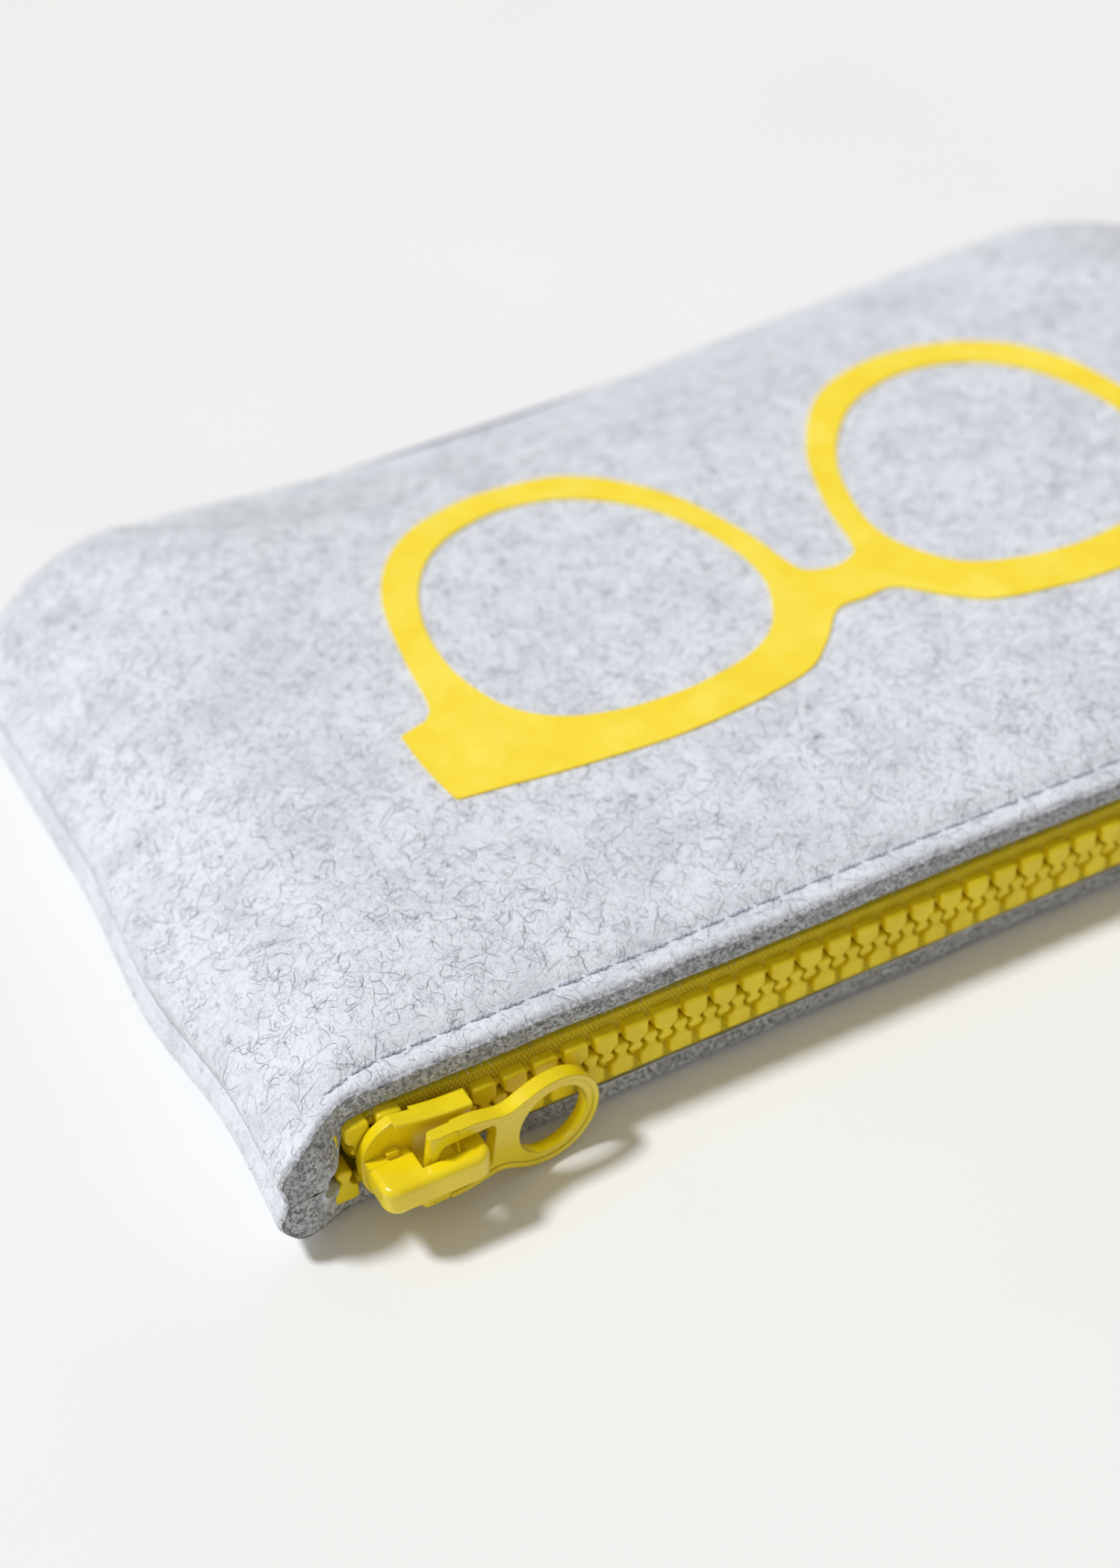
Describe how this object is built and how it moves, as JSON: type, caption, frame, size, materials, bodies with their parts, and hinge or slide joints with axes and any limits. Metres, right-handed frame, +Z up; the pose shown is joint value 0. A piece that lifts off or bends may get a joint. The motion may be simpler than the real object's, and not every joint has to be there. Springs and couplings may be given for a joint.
{
  "type": "soft glasses pouch",
  "caption": "Soft felt glasses pouch with round back corners, a moulded-tooth zip along one long side, a locking slider with a ring pull and a glasses picture on top.",
  "frame": {"origin": "centre of the face the pouch rests on, midway between the zip plane and the back edge", "axes": "+X along the zip from its closed end to its open end, -Y out of the mouth, +Z up through the panel with the picture"},
  "size_m": [0.17, 0.1057, 0.0147],
  "materials": {
    "felt": "matte wool felt, light grey melange",
    "thread": "spun polyester thread, grey lilac",
    "zip_tape": "woven tape, yellow",
    "zip_plastic": "satin moulded plastic, yellow",
    "slider_lacquer": "gloss lacquer on die-cast metal, yellow",
    "spring_steel": "bright spring steel",
    "transfer_film": "soft matt heat-transfer film, bright yellow"
  },
  "bodies": {
    "pouch": {"felt_back_panel": "felt", "seam_thread": "thread", "back_topstitch": "thread", "back_tape": "zip_tape", "back_tape_cord": "zip_tape", "back_teeth": "zip_plastic", "back_top_stop": "zip_plastic", "bottom_stop": "zip_plastic"},
    "front_flap": {"felt_front_panel": "felt", "front_topstitch": "thread", "front_tape": "zip_tape", "front_tape_cord": "zip_tape", "front_teeth": "zip_plastic", "front_top_stop": "zip_plastic", "glasses_motif": "transfer_film"},
    "slider": {"slider_body": "slider_lacquer", "slider_crown": "slider_lacquer"},
    "pull": {"pull_tab": "slider_lacquer"},
    "lock": {"lock_spring": "spring_steel"}
  },
  "joints": [
    {"name": "slider_travel", "type": "slide", "parent": "pouch", "child": "slider", "axis": [1, 0, 0], "range_m": [0, 0.145], "deforming": ["front_tape", "back_tape", "front_tape_cord", "back_tape_cord", "front_teeth", "back_teeth"]},
    {"name": "mouth_open", "type": "hinge", "parent": "pouch", "child": "front_flap", "pos_m": [0, 0.049, 0.0072], "axis": [-1, 0, 0], "range_deg": [0, 25]},
    {"name": "pull_swing", "type": "hinge", "parent": "slider", "child": "pull", "pos_m": [-0.0706, -0.0542, 0.0072], "axis": [-0.1392, 0, -0.9903], "range_deg": [0, 187]},
    {"name": "lock_lift", "type": "slide", "parent": "slider", "child": "lock", "axis": [0, -1, 0], "range_m": [0, 0.0005], "stiffness_N_per_m": 12}
  ],
  "couplings": [
    {"joint": "mouth_open", "follows": "slider_travel", "rad_per_m": 3}
  ]
}
